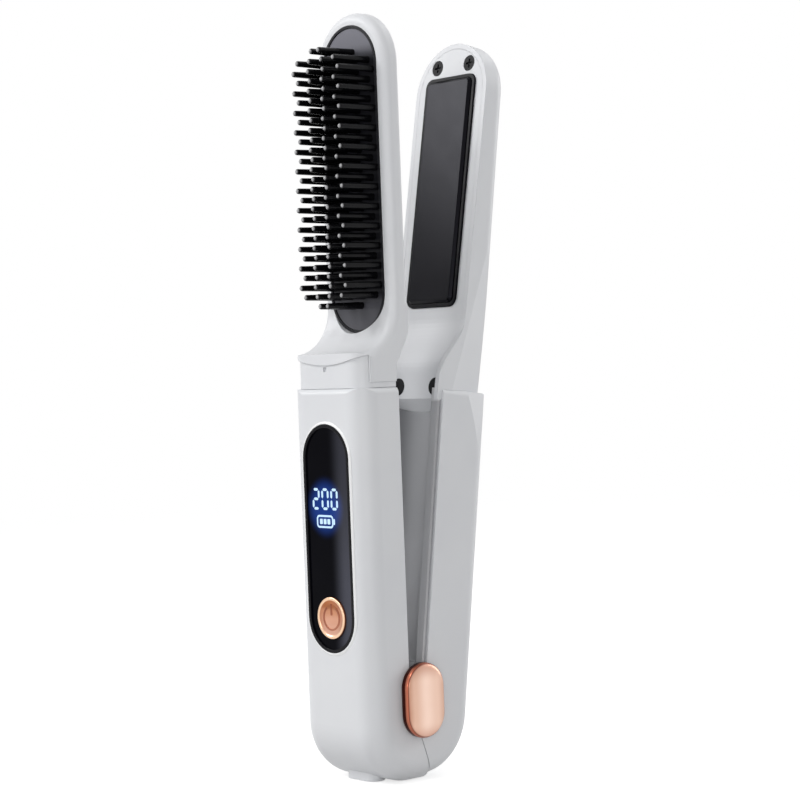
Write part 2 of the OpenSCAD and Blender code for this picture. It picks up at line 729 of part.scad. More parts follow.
module hinge_cap_right() color("rosybrown") hinge_cap(1);

// Torsion spring: one unbroken wire with a leg at each end
spring_r = pin_d / 2 + 0.4 + spring_wire / 2;
spring_pitch = spring_wire + 0.5;
spring_rings = 12;
spring_leg = 5.4;
spring_start = 150;
wire_sides = 6;
echo(str("spring gap between turns: ", spring_pitch - spring_wire));
function spring_angle(i) = spring_start + 360 * i / spring_rings;
function wire_ring(i, along) =
    let (a = spring_angle(i))
    let (x = (i / spring_rings - spring_turns / 2) * spring_pitch)
    [for (k = [0:wire_sides - 1])
        let (b = 360 * k / wire_sides)
        let (q = spring_r + spring_wire / 2 * cos(b))
        [x + spring_wire / 2 * sin(b), q * cos(a) - along * sin(a), q * sin(a) + along * cos(a)]];

module hinge_spring() color("dimgray") front() {
    last = spring_turns * spring_rings;
    rings = concat([wire_ring(0, -spring_leg)],
        [for (i = [0:last]) wire_ring(i, 0)],
        [wire_ring(last, spring_leg)]);
    n = len(rings);
    end = (n - 1) * wire_sides;
    sides = [for (i = [0:n - 2], k = [0:wire_sides - 1])
        let (a = i * wire_sides + k)
        let (b = i * wire_sides + (k + 1) % wire_sides)
        each [[a, b, b + wire_sides], [a, b + wire_sides, a + wire_sides]]];
    ends = [for (k = [1:wire_sides - 2]) each [[0, k + 1, k], [end, end + k, end + k + 1]]];
    translate([0, pivot_y, pivot_z]) polyhedron([for (r = rings, p = r) p], concat(sides, ends));
}

// ---- rear handle ----
rear_heel_z = rear_heel_r + 1.5;

module rear_body(g) difference() {
    heeled_body(rear_edge_y - 3, rear_back_y, rear_heel_r, rear_heel_z, back_r, g);
    handle_facets(g);
}

// Cuts the upper back corners outside a flat cone, whose edge sweeps up from the back
module handle_facets(g) {
    z0 = shoulder_z - facet_up;
    deep = 6 + g;
    out = 1;
    difference() {
        for (s = [-1, 1]) translate([s > 0 ? hw - deep : -hw - out, 0, z0]) cube([deep + out, far, far]);
        for (s = [-1, 1]) translate([s * (hw - deep), rear_back_y - facet_in - facet_r, z0])
            rotate([0, s * 90, 0]) cylinder(r1 = facet_r + (deep - g / cos(facet)) / tan(facet),
                r2 = facet_r - (out + g / cos(facet)) / tan(facet), h = deep + out, $fn = 128);
    }
}

// Cuts the neck's back corners by a plane each, leaning back as it rises
module neck_facets(g) for (s = [-1, 1])
    translate([s * (head_hw - g / cos(facet)), neck_strip_y, ledge_z]) rotate([-neck_lean, 0, 0])
        rotate([0, 0, s * facet]) translate([s > 0 ? 0 : -far, -far, -far])
            cube([far, 2 * far, 2 * far]);

// Everything in front of the rear shell's edge, moved back by g. Below the pin the edge
// is the front handle's own, so the two meet when the arm is open.
module before_rear_edge(g) {
    translate([-far, -far, -far]) cube([2 * far, far + rear_edge_y + g, 5 * far]);
    turned(head_tilt - open_angle) before_front_edge(slack + g);
}

module before_front_edge(g) side(3 * far) polygon([[-far, kink_z], [front_d + g, kink_z],
    [front_d + g + (kink_z + 10) * part_slope, -10], [-far, -10]]);

module rear_handle_shell() color("gainsboro") rear_handle() difference() {
    union() {
        difference() {
            rear_body(0);
            before_rear_edge(0);
            rear_cavity();
            rod(ear_r + slack, -far, far);
            turned(head_tilt) rear_head_body(-fit);
        }
        for (s = [-1, 1]) intersection() {
            union() {
                rod(eye_r, s > 0 ? knuckle_out - knuckle_t : -knuckle_out,
                    s > 0 ? knuckle_out : -knuckle_out + knuckle_t);
                translate([s > 0 ? knuckle_out - knuckle_t : -knuckle_out, pivot_y, pivot_z - eye_r])
                    cube([knuckle_t, rear_back_y - pivot_y - 1, 2 * eye_r]);
            }
            union() {
                rear_body(0.5);
                rod(eye_r + 1, -far, far);
            }
        }
    }
    shoulder_cut(0, far, shoulder_z);
    side(3 * far) difference() {
        translate([rear_back_y - shoulder_r, shoulder_z - shoulder_r]) square([5 + shoulder_r, far]);
        translate([rear_back_y - shoulder_r, shoulder_z - shoulder_r]) circle(shoulder_r);
    }
    rod(pin_d / 2 + pin_fit, -far, far);
}

// Space inside the rear handle: closed by a roof at the shoulder and a wall below the pin
module rear_cavity() difference() {
    rear_body(wall);
    translate([-far, -far, shoulder_z - wall]) cube([2 * far, 3 * far, far]);
    intersection() {
        before_rear_edge(wall);
        translate([-far, -far, -far]) cube([2 * far, 3 * far, far + 11]);
    }
}

// Dark cover on the inner side of the rear handle: a channel with a hollowed floor, whose
// lips seat on the shell's edges; its upper end follows the head cover's ledge
cover_z0 = pivot_z + ear_r + 2.4;
channel_hw = hw - wall - fit - cover_t;
module rear_inner_cover() color("gray") rear_handle() difference() {
    union() {
        translate([-hw + lip_in, lip_y, cover_z0])
            cube([handle_w - 2 * lip_in, lip_h - groove_h, shoulder_z - cover_z0]);
        translate([-hw + lip_in + groove_d, lip_y, cover_z0])
            cube([handle_w - 2 * lip_in - 2 * groove_d, lip_h, shoulder_z - cover_z0]);
        translate([0, 0, cover_z0]) linear_extrude(shoulder_z - wall - fit - cover_z0)
            channel(channel_hw + cover_t, scoop_d + cover_t, 3 + cover_t, lip_y);
    }
    translate([0, 0, cover_z0 + cover_t]) linear_extrude(2 * far)
        channel(channel_hw, scoop_d, 3, lip_y - 1);
    turned(head_tilt) {
        side(2 * channel_hw + 0.01) polygon([[rear_lip_top_y, far * 3], [far, far * 3],
            [far, ledge_foot[1] - seam], [ledge_foot[0], ledge_foot[1] - seam],
            [ledge_top[0] - seam, ledge_top[1]], [rear_lip_top_y, ledge_top[1]]]);
        rear_head_walls(fit);
    }
}

// Section of the channel, open to the front: its floor is a shallow hollow of depth d
module channel(w, d, r, from) intersection() {
    corner = lip_y + d - scoop_r + sqrt(pow(scoop_r, 2) - pow(w - r, 2)) - r;
    translate([0, lip_y + d - scoop_r]) circle(scoop_r, $fn = 96);
    union() {
        translate([-w + r, from]) square([2 * (w - r), far]);
        translate([-w, from]) square([2 * w, corner - from]);
        for (s = [-1, 1]) translate([s * (w - r), corner]) circle(r);
    }
}

// ---- rear head ----
function rear_edge() =
    concat([[rear_lip_top_y, shoulder_z]], bend(rear_lip_top_y, rear_inner_y, rear_bend));
function rear_floor() =
    concat([ledge_foot, ledge_top], bend(plug_floor_y, rear_inner_y, floor_bend));
neck_foot_z = shoulder_z - 3;
plug_seat_y = plug_floor_y + 3.4;

// Outer form of the rear head and neck, drawn g smaller, its straight back leaning by the taper
module rear_head_body(g, foot = neck_foot_z) difference() {
    w = head_w - 2 * g;
    r = rear_head_r - g / 2;
    front_side = 5;
    translate([0, rear_back_tip_y, rear_tip_c]) rotate([back_taper, 0, 0])
        translate([0, -rear_back_tip_y, 0]) {
        translate([0, 0, foot - rear_tip_c]) linear_extrude(rear_tip_c - foot)
            plan(w, front_side, rear_back_tip_y - g, 1, r);
        rotate([90, 0, 0]) rotate_extrude(angle = 180)
            half_section(w / 2, front_side, rear_back_tip_y - g, 1, r);
    }
    neck_facets(g);
}

// The rear head's outer wall with a clearance inside it, to cut the pieces that meet it
module rear_head_walls(clear) difference() {
    rear_head_body(-fit);
    rear_head_body(head_wall + clear, neck_foot_z - 1);
}

module rear_head_shell() color("whitesmoke") rear() difference() {
    rear_head_body(0);
    side(3 * far) polygon(concat([[-far, neck_foot_z - 2], [rear_lip_top_y, neck_foot_z - 2]],
        rear_edge(), [[rear_inner_y, 4 * far], [-far, 4 * far]]));
    difference() {
        rear_head_body(head_wall);
        for (s = [-1, 1]) slab(rear_inner_y + 1.3, far, head_screw_z)
            translate([s * head_screw_x, 0]) circle(screw_boss_r);
        at_plugs(plug_seat_y, far) circle(plug_d / 2);
    }
    for (s = [-1, 1]) slab(0, rear_inner_y + 5, head_screw_z)
        translate([s * head_screw_x, 0]) circle(screw_d / 2);
    at_plugs(0, plug_seat_y + 5) circle(screw_d / 2);
}

// Inner cover of the rear head: flush at the head, a channel floor down the neck
module rear_head_cover() color("whitesmoke") rear() {
    w = head_w - 2 * head_wall;
    t = 1.4;
    difference() {
        union() {
            narrowed(channel_hw - fit, shoulder_z - 1)
                side(w) polygon(concat(shifted(rear_floor(), t), reversed(rear_floor())));
            slab(rear_inner_y, rear_inner_y + t, 0) {
                translate([-w / 2, floor_bend[1] - 0.01]) square([w, rear_tip_c - floor_bend[1]]);
                translate([0, rear_tip_c]) circle(w / 2);
            }
            at_plugs(plug_floor_y + plug_shelf, plug_seat_y) circle(plug_d / 2 + plug_rim);
        }
        slab(0, far, plate_mid_z) rounded(frame_w + 2 * fit, frame_l + 2 * fit, plate_r + frame_rim);
        for (s = [-1, 1]) slab(0, far, head_screw_z)
            translate([s * head_screw_x, 0]) circle(screw_head_d / 2 + fit);
        at_plugs(0, plug_seat_y - plug_shelf) circle(plug_d / 2 + 0.01);
        at_plugs(0, far) circle(screw_d / 2);
        rear_head_walls(seam);
    }
}

module at_plugs(y0, y1) for (s = [-1, 1]) slab(y0, y1, plug_z) translate([s * plug_x, 0]) children();

module rear_plate() color("darkslategray") rear()
    translate([0, rear_plate_y, plate_mid_z]) bevelled_plate();

module rear_plate_frame() color("black") rear() {
    y0 = rear_plate_y + plate_bevel + 0.2;
    translate([0, y0, plate_mid_z]) plate_frame(rear_inner_y + 1.4 - y0);
}

module rear_plate_heater() color("silver") rear()
    slab(rear_plate_y + plate_depth, rear_plate_y + plate_depth + heater_t, plate_mid_z)
        square([plate_w - 2 * heater_in, plate_l - 6 * heater_in], center = true);

// Silicone cushions that carry the sprung plate
module plate_cushions() color("orangered") rear() for (s = [-1, 1]) behind_plate()
    slab(plate_rest_y, 2 * far, plate_mid_z + s * (plate_l / 2 - cushion_in))
        rounded(plate_w - 4, cushion_l, 2);

// Thermal fuse in its ceramic block, held against the head's back wall
module thermal_fuse() color("beige") rear() behind_plate()
    slab(plate_rest_y + 0.3, 2 * far, plate_mid_z) square([fuse_w, fuse_l], center = true);

module behind_plate() intersection() {
    rear_head_body(head_wall);
    children();
}

module head_screws() color("black") rear() for (s = [-1, 1])
    translate([s * head_screw_x, rear_inner_y + 0.1, head_screw_z]) screw(head_screw_l);

module neck_screws() color("silver") rear() for (s = [-1, 1])
    translate([s * plug_x, plug_seat_y - plug_shelf - screw_head_t, plug_z]) screw(neck_screw_l);

module rubber_plugs() color("black") rear() for (s = [-1, 1])
    slab(plug_floor_y - 0.1, plug_floor_y + plug_t, plug_z) translate([s * plug_x, 0]) circle(plug_d / 2);

front_handle_shell();
collar_ring();
front_head_shell();
front_inner_cover();
front_head_cover();
comb_base();
comb_teeth();
comb_heater();
insulation_sheet();
front_plate_frame();
front_plate();
front_plate_heater();
front_cover_screws();
panel_bezel();
panel_lens();
display_module();
power_button();
button_switch();
circuit_board();
battery_cell();
battery_cradle();
port_board();
charging_port();
port_tongue();
hinge_pin();
hinge_washers();
hinge_spring();
hinge_cap_left();
hinge_cap_right();
rear_handle_shell();
rear_inner_cover();
rear_head_shell();
rear_head_cover();
rear_plate_frame();
rear_plate();
rear_plate_heater();
plate_cushions();
thermal_fuse();
head_screws();
neck_screws();
rubber_plugs();
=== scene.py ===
import math

import bmesh
import bpy
from mathutils import Matrix, Vector


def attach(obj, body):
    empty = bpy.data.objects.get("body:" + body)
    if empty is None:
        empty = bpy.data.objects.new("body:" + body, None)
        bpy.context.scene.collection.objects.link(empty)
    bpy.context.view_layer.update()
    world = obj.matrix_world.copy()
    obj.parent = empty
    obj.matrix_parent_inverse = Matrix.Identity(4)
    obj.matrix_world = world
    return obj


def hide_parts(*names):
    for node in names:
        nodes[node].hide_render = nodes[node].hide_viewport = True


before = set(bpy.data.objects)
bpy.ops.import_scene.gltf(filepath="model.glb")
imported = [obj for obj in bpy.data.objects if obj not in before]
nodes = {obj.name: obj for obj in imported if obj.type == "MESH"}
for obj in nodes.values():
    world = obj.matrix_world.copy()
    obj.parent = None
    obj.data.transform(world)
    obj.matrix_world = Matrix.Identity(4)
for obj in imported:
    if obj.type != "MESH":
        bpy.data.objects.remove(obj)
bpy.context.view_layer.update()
mm = 0.001
print("frame loaded:", len(nodes), "nodes")


def nodeBox(name):
    # low and high corner of a CAD node, millimetres
    spots = [vertex.co / mm for vertex in nodes[name].data.vertices]
    return [Vector([pick(spot[i] for spot in spots) for i in range(3)]) for pick in (min, max)]


# the camera stands where the photo's did: degrees and millimetres
cameraSet = {
    "azimuth": 48.5,
    "elevation": 1.18,
    "roll": -2.159,
    "place": (457.0, -386.8, 116.65),
    "lens": 97.64,
    "sensor": 36,
    "clip": (0.01, 50),  # metres
}


def placeCamera(s):
    a, e, r = [math.radians(s[key]) for key in ("azimuth", "elevation", "roll")]
    back = Vector((math.sin(a) * math.cos(e), -math.cos(a) * math.cos(e), math.sin(e)))
    level = Vector((math.cos(a), math.sin(a), 0))
    rise = back.cross(level)
    right = level * math.cos(r) + rise * math.sin(r)
    up = rise * math.cos(r) - level * math.sin(r)
    data = bpy.data.cameras.new("studioCamera")
    data.sensor_width = s["sensor"]
    data.lens = s["lens"]
    data.clip_start, data.clip_end = s["clip"]
    cam = bpy.data.objects.new("studioCamera", data)
    bpy.context.scene.collection.objects.link(cam)
    turn = Matrix((right, up, back)).transposed().to_4x4()
    cam.matrix_world = Matrix.Translation(Vector(s["place"]) * mm) @ turn
    bpy.context.scene.camera = cam


placeCamera(cameraSet)
bpy.context.scene.view_settings.view_transform = "Standard"

# lamps: where they stand (m), their size (m), their power (W)
lampSet = {
    "keyBox": {"at": (-0.95, -0.82, 0.86), "size": (0.50, 0.46), "power": 7.4},
    "highFront": {"at": (-0.05, -0.85, 1.15), "size": (0.40, 0.30), "power": 3.4},
    "frontFill": {"at": (0.00, -1.30, 0.34), "size": (0.40, 0.30), "power": 1.3},
    "viewBox": {"at": (1.00, -0.80, 0.24), "size": (0.50, 0.40), "power": 2.6},
    "rimBox": {"at": (0.38, 1.15, 0.45), "size": (0.45, 0.70), "power": 3.8},
    "topStrip": {"at": (0.0, 0.92, 1.10), "size": (0.60, 0.14), "power": 1.8},
}
lampAim = (0, 0, 0.11)  # middle of the tool
worldSet = {"diffuse": 0.445, "seen": 1.0}
floorSet = {"z": -0.0002, "radius": 4.0, "sides": 96, "albedo": 0.58, "spread": 0.01, "grain": 40.0,
            "lift": 0.68, "fadeFrom": 0.30, "fadeTo": 1.1}


def addNode(tree, kind, inputs=None, **settings):
    item = tree.nodes.new(kind)
    for key, value in settings.items():
        setattr(item, key, value)
    for key, value in (inputs or {}).items():
        if isinstance(value, bpy.types.NodeSocket):
            tree.links.new(value, item.inputs[key])
        else:
            item.inputs[key].default_value = value
    return item


def seenRay(tree):
    # 1 for the rays that look at the backdrop: camera, mirror and glass
    rays = addNode(tree, "ShaderNodeLightPath")
    first = addNode(tree, "ShaderNodeMath", {0: rays.outputs["Is Camera Ray"],
                                             1: rays.outputs["Is Glossy Ray"]}, operation="MAXIMUM")
    both = addNode(tree, "ShaderNodeMath", {0: first.outputs[0],
                                            1: rays.outputs["Is Transmission Ray"]}, operation="MAXIMUM")
    return both.outputs[0]


def lightRoom(lamps, room):
    for name, lamp in lamps.items():
        data = bpy.data.lights.new(name, "AREA")
        data.shape = "RECTANGLE"
        data.size, data.size_y = lamp["size"]
        data.energy = lamp["power"]
        obj = bpy.data.objects.new(name, data)
        bpy.context.scene.collection.objects.link(obj)
        obj.location = lamp["at"]
        aim = Vector(lampAim) - Vector(lamp["at"])
        obj.rotation_euler = aim.to_track_quat("-Z", "Z").to_euler()
    world = bpy.data.worlds.new("paleRoom")
    bpy.context.scene.world = world
    world.use_nodes = True
    tree = world.node_tree
    tree.nodes.clear()
    level = addNode(tree, "ShaderNodeMapRange", {"Value": seenRay(tree), "To Min": room["diffuse"],
                                                 "To Max": room["seen"]})
    glow = addNode(tree, "ShaderNodeBackground", {"Color": (1, 1, 1, 1), "Strength": level.outputs[0]})
    addNode(tree, "ShaderNodeOutputWorld", {"Surface": glow.outputs[0]})


def layFloor(s):
    # a white sweep that still takes the shadow round the foot
    mat = bpy.data.materials.new("floorPaper")
    mat.use_nodes = True
    tree = mat.node_tree
    tree.nodes.clear()
    where = addNode(tree, "ShaderNodeTexCoord")
    away = addNode(tree, "ShaderNodeVectorMath", {0: where.outputs["Object"]}, operation="LENGTH")
    far = addNode(tree, "ShaderNodeMapRange", {"Value": away.outputs["Value"], "From Min": s["fadeFrom"],
                                               "From Max": s["fadeTo"]}, interpolation_type="SMOOTHSTEP")
    seen = seenRay(tree)
    lift = addNode(tree, "ShaderNodeMath", {0: seen, 1: s["lift"]}, operation="MULTIPLY")
    grain = addNode(tree, "ShaderNodeTexNoise", {"Vector": where.outputs["Object"], "Scale": s["grain"]})
    tone = addNode(tree, "ShaderNodeMapRange", {"Value": grain.outputs[0], "To Min": s["albedo"] - s["spread"],
                                                "To Max": s["albedo"] + s["spread"]})
    paper = addNode(tree, "ShaderNodeBsdfDiffuse", {"Color": tone.outputs[0]})
    raised = addNode(tree, "ShaderNodeEmission", {"Strength": lift.outputs[0]})
    near = addNode(tree, "ShaderNodeAddShader", {0: paper.outputs[0], 1: raised.outputs[0]})
    white = addNode(tree, "ShaderNodeEmission", {"Strength": 1.0})
    fade = addNode(tree, "ShaderNodeMath", {0: far.outputs[0], 1: seen}, operation="MULTIPLY")
    mix = addNode(tree, "ShaderNodeMixShader", {0: fade.outputs[0], 1: near.outputs[0], 2: white.outputs[0]})
    addNode(tree, "ShaderNodeOutputMaterial", {"Surface": mix.outputs[0]})
    bm = bmesh.new()
    bmesh.ops.create_circle(bm, cap_ends=True, radius=s["radius"], segments=s["sides"])
    mesh = bpy.data.meshes.new("floorSweep")
    bm.to_mesh(mesh)
    bm.free()
    mesh.materials.append(mat)
    obj = bpy.data.objects.new("floorSweep", mesh)
    obj.location.z = s["z"]
    bpy.context.scene.collection.objects.link(obj)


lightRoom(lampSet, worldSet)
layFloor(floorSet)
print("camera, lamps and floor ready")


def startFinish(name):
    mat = bpy.data.materials.new(name)
    mat.use_nodes = True
    tree = mat.node_tree
    tree.nodes.clear()
    shader = addNode(tree, "ShaderNodeBsdfPrincipled")
    addNode(tree, "ShaderNodeOutputMaterial", {"Surface": shader.outputs[0]})
    return mat, tree, shader


def feed(tree, source, socket):
    tree.links.new(source, socket)


def objectPoint(tree):
    return addNode(tree, "ShaderNodeTexCoord").outputs["Object"]


def cloud(tree, scale, low, high, detail=2.0, roughness=0.5):
    # soft noise between two values, its scale in features per metre
    noise = addNode(tree, "ShaderNodeTexNoise", {"Vector": objectPoint(tree), "Scale": scale, "Detail": detail,
                                                 "Roughness": roughness})
    spread = addNode(tree, "ShaderNodeMapRange", {"Value": noise.outputs[0], "From Min": 0.3, "From Max": 0.7,
                                                  "To Min": low, "To Max": high})
    return spread.outputs[0]


def spanOf(tree, value, low, high, start=0.0, reach=1.0, kind="LINEAR"):
    # start at low and reach at high, both places in millimetres
    span = addNode(tree, "ShaderNodeMapRange", {"Value": value, "From Min": low * mm, "From Max": high * mm,
                                                "To Min": start, "To Max": reach}, interpolation_type=kind)
    return span.outputs[0]


def blendColour(tree, factor, first, second):
    mix = addNode(tree, "ShaderNodeMix", data_type="RGBA")
    for socket, value in ((mix.inputs[0], factor), (mix.inputs[6], first), (mix.inputs[7], second)):
        if isinstance(value, bpy.types.NodeSocket):
            feed(tree, value, socket)
        else:
            socket.default_value = value if isinstance(value, float) else (*value, 1.0)
    return mix.outputs[2]


edgeSet = {"samples": 6, "flat": 0.995, "round": 0.86}


def softEdge(tree, radius):
    # rounded normal for the light, and 1 on the edges that it rounds
    bevel = addNode(tree, "ShaderNodeBevel", {"Radius": radius * mm}, samples=edgeSet["samples"])
    flat = addNode(tree, "ShaderNodeNewGeometry")
    same = addNode(tree, "ShaderNodeVectorMath", {0: bevel.outputs[0], 1: flat.outputs["Normal"]},
                   operation="DOT_PRODUCT")
    edge = addNode(tree, "ShaderNodeMapRange", {"Value": same.outputs["Value"], "From Min": edgeSet["flat"],
                                                "From Max": edgeSet["round"]})
    return bevel.outputs[0], edge.outputs[0]


def grainBump(tree, scale, depth, normal):
    noise = addNode(tree, "ShaderNodeTexNoise", {"Vector": objectPoint(tree), "Scale": scale, "Detail": 3.0})
    bump = addNode(tree, "ShaderNodeBump", {"Height": noise.outputs[0], "Distance": depth * mm, "Strength": 1.0,
                                            "Normal": normal})
    return bump.outputs[0]


# drift, smear, patches and grain are features per metre, edge and depth millimetres
usualLook = {"drift": 45.0, "smear": 120.0, "patches": 300.0, "grain": 2600.0, "edge": 0.3, "depth": 0.004,
             "wear": 0.3, "metal": 0.0, "specular": 0.5}


def mouldedFinish(name, look):
    # colour drift, uneven gloss, fine grain and rubbed edges
    look = {**usualLook, **look}
    mat, tree, shader = startFinish(name)
    normal, edge = softEdge(tree, look["edge"])
    tint = blendColour(tree, cloud(tree, look["drift"], 0.0, 1.0), look["colour"], look["shade"])
    rub = addNode(tree, "ShaderNodeMath", {0: edge, 1: look["wear"]}, operation="MULTIPLY")
    rub = addNode(tree, "ShaderNodeMath", {0: rub.outputs[0], 1: cloud(tree, look["patches"], 0.2, 1.0)},
                  operation="MULTIPLY")
    feed(tree, blendColour(tree, rub.outputs[0], tint, look["rubbedAndLit"]), shader.inputs["Base Color"])
    low, high = look["gloss"]
    feed(tree, cloud(tree, look["smear"], low, high, 4.0), shader.inputs["Roughness"])
    feed(tree, grainBump(tree, look["grain"], look["depth"], normal), shader.inputs["Normal"])
    shader.inputs["Metallic"].default_value = look["metal"]
    shader.inputs["Specular IOR Level"].default_value = look["specular"]
    return mat, tree, shader


plasticLooks = {
    "whiteShell": {"colour": (0.75, 0.76, 0.78), "shade": (0.72, 0.73, 0.755), "rubbedAndLit": (0.83, 0.84, 0.85),
                   "gloss": (0.36, 0.44), "edge": 0.22, "depth": 0.003, "specular": 0.4, "wear": 0.35},
    # the bead's white is paler than the shell's, a painted highlight line
    "beadHighlightWhite": {"colour": (0.93, 0.935, 0.94), "shade": (0.90, 0.905, 0.91), "rubbedAndLit": (0.95, 0.95, 0.95),
                  "gloss": (0.18, 0.26), "edge": 0.05, "depth": 0.001, "specular": 0.6},
    "whiteCover": {"colour": (0.75, 0.76, 0.78), "shade": (0.72, 0.73, 0.755), "rubbedAndLit": (0.83, 0.84, 0.85),
                   "gloss": (0.38, 0.46), "edge": 0.12, "depth": 0.003, "specular": 0.4},
    "combRim": {"colour": (0.010, 0.010, 0.013), "shade": (0.016, 0.016, 0.019), "rubbedAndLit": (0.10, 0.10, 0.11),
                "gloss": (0.26, 0.36), "edge": 0.15, "depth": 0.003, "specular": 0.2},
    "frameBlack": {"colour": (0.004, 0.004, 0.006), "shade": (0.007, 0.007, 0.009), "rubbedAndLit": (0.05, 0.05, 0.055),
                   "gloss": (0.22, 0.32), "edge": 0.2, "depth": 0.003, "specular": 0.07},
    "panelBlack": {"colour": (0.004, 0.004, 0.006), "shade": (0.006, 0.006, 0.008), "rubbedAndLit": (0.03, 0.03, 0.035),
                   "gloss": (0.12, 0.20), "edge": 0.25, "depth": 0.002, "specular": 0.10},
    "blackRubber": {"colour": (0.004, 0.004, 0.006), "shade": (0.007, 0.007, 0.009), "rubbedAndLit": (0.03, 0.03, 0.035),
                    "gloss": (0.45, 0.6), "edge": 0.3, "depth": 0.010, "specular": 0.12},
    "silicone": {"colour": (0.50, 0.10, 0.05), "shade": (0.44, 0.08, 0.04), "rubbedAndLit": (0.62, 0.20, 0.12),
                 "gloss": (0.45, 0.6), "edge": 0.4, "depth": 0.008},
    "micaSheet": {"colour": (0.52, 0.45, 0.28), "shade": (0.44, 0.37, 0.22), "rubbedAndLit": (0.66, 0.60, 0.44),
                  "gloss": (0.25, 0.45), "edge": 0.1, "depth": 0.006, "drift": 500.0},
    "cradleGrey": {"colour": (0.56, 0.56, 0.57), "shade": (0.52, 0.52, 0.53), "rubbedAndLit": (0.66, 0.66, 0.67),
                   "gloss": (0.45, 0.55), "edge": 0.3, "depth": 0.006},
    "switchGrey": {"colour": (0.24, 0.24, 0.25), "shade": (0.20, 0.20, 0.21), "rubbedAndLit": (0.45, 0.45, 0.46),
                   "gloss": (0.35, 0.45), "edge": 0.15, "depth": 0.004},
    "displayDark": {"colour": (0.012, 0.014, 0.03), "shade": (0.016, 0.018, 0.036), "rubbedAndLit": (0.06, 0.06, 0.10),
                    "gloss": (0.2, 0.3), "edge": 0.2, "depth": 0.003},
    "ceramicBlock": {"colour": (0.70, 0.68, 0.62), "shade": (0.64, 0.62, 0.56), "rubbedAndLit": (0.80, 0.78, 0.73),
                     "gloss": (0.5, 0.7), "edge": 0.3, "depth": 0.012},
    "cellSleeve": {"colour": (0.04, 0.12, 0.42), "shade": (0.03, 0.10, 0.36), "rubbedAndLit": (0.15, 0.25, 0.55),
                   "gloss": (0.22, 0.32), "edge": 0.3, "depth": 0.01, "grain": 500.0},
    "portBlack": {"colour": (0.012, 0.012, 0.013), "shade": (0.02, 0.02, 0.022), "rubbedAndLit": (0.08, 0.08, 0.08),
                  "gloss": (0.3, 0.4), "edge": 0.1, "depth": 0.003},
}
metalLooks = {
    "steel": {"colour": (0.62, 0.62, 0.63), "shade": (0.54, 0.54, 0.55), "rubbedAndLit": (0.75, 0.75, 0.76),
              "gloss": (0.22, 0.34), "edge": 0.2, "depth": 0.002, "metal": 1.0},
    "blackSteel": {"colour": (0.003, 0.003, 0.004), "shade": (0.005, 0.005, 0.006), "rubbedAndLit": (0.22, 0.22, 0.24),
                   "gloss": (0.20, 0.30), "edge": 0.14, "depth": 0.003, "specular": 0.045, "wear": 0.6},
    "heaterMetal": {"colour": (0.55, 0.55, 0.54), "shade": (0.46, 0.46, 0.45), "rubbedAndLit": (0.70, 0.70, 0.69),
                    "gloss": (0.35, 0.5), "edge": 0.1, "depth": 0.004, "metal": 0.9},
}


def stopsRamp(tree, value, low, high, stops):
    # colours at places from 0 to 1 along a span in millimetres
    ramp = addNode(tree, "ShaderNodeValToRGB", {0: spanOf(tree, value, low, high)})
    ramp.color_ramp.interpolation = "EASE"
    points = ramp.color_ramp.elements
    for at, _ in stops[1:-1]:
        points.new(at)
    for point, (at, colour) in zip(points, stops):
        point.position = at
        point.color = (*colour, 1.0)
    return ramp.outputs[0]


def paintedShadeEnds(tree, place, tone, s):
    # painted shade: a face that darkens towards both of its ends
    off = addNode(tree, "ShaderNodeMath", {0: place.outputs[s["axis"]], 1: s["middle"] * mm}, operation="SUBTRACT")
    away = addNode(tree, "ShaderNodeMath", {0: off.outputs[0]}, operation="ABSOLUTE")
    end = spanOf(tree, away.outputs[0], *s["span"], reach=s["share"], kind="SMOOTHSTEP")
    return blendColour(tree, end, tone, s["dark"])


def roseGoldPaintedLightFinish(name, look):
    # satin plating whose colour carries painted light: pale where it faces out and deep copper on the walls, by which
    # way the surface faces, with a painted reflection streak along the walls, a painted light-to-shade gradient
    # across the face and, where given, painted shade towards the face's ends and a painted highlight on the crest
    mat, tree, shader = mouldedFinish(name, look)
    facing = addNode(tree, "ShaderNodeNewGeometry")
    axis = addNode(tree, "ShaderNodeVectorMath", {0: facing.outputs["Normal"], 1: look["outward"]},
                   operation="DOT_PRODUCT")
    out = addNode(tree, "ShaderNodeMath", {0: axis.outputs["Value"]}, operation="ABSOLUTE")
    wall = addNode(tree, "ShaderNodeMapRange", {"Value": out.outputs[0], "From Min": look["turn"][0],
                                                "From Max": look["turn"][1]}, interpolation_type="SMOOTHSTEP")
    place = addNode(tree, "ShaderNodeSeparateXYZ", {0: objectPoint(tree)})
    axisName, low, high = look["faceSpan"]
    face = stopsRamp(tree, place.outputs[axisName], low, high, look["face"])
    axisName, low, high = look["wallSpan"]
    depth = addNode(tree, "ShaderNodeMath", {0: place.outputs[axisName]}, operation="ABSOLUTE")
    rim = stopsRamp(tree, depth.outputs[0], low, high, look["wall"])
    scale, share = look["veil"]
    tone = blendColour(tree, cloud(tree, scale, 0.0, share), face, look["shade"])
    if look["ends"]:
        tone = paintedShadeEnds(tree, place, tone, look["ends"])
    tone = blendColour(tree, wall.outputs[0], rim, tone)
    if look["crestHighlight"]:
        low, high, highlightTone = look["crestHighlight"]
        tone = blendColour(tree, spanOf(tree, depth.outputs[0], low, high, kind="SMOOTHSTEP"), tone, highlightTone)
    feed(tree, tone, shader.inputs["Base Color"])
    return mat
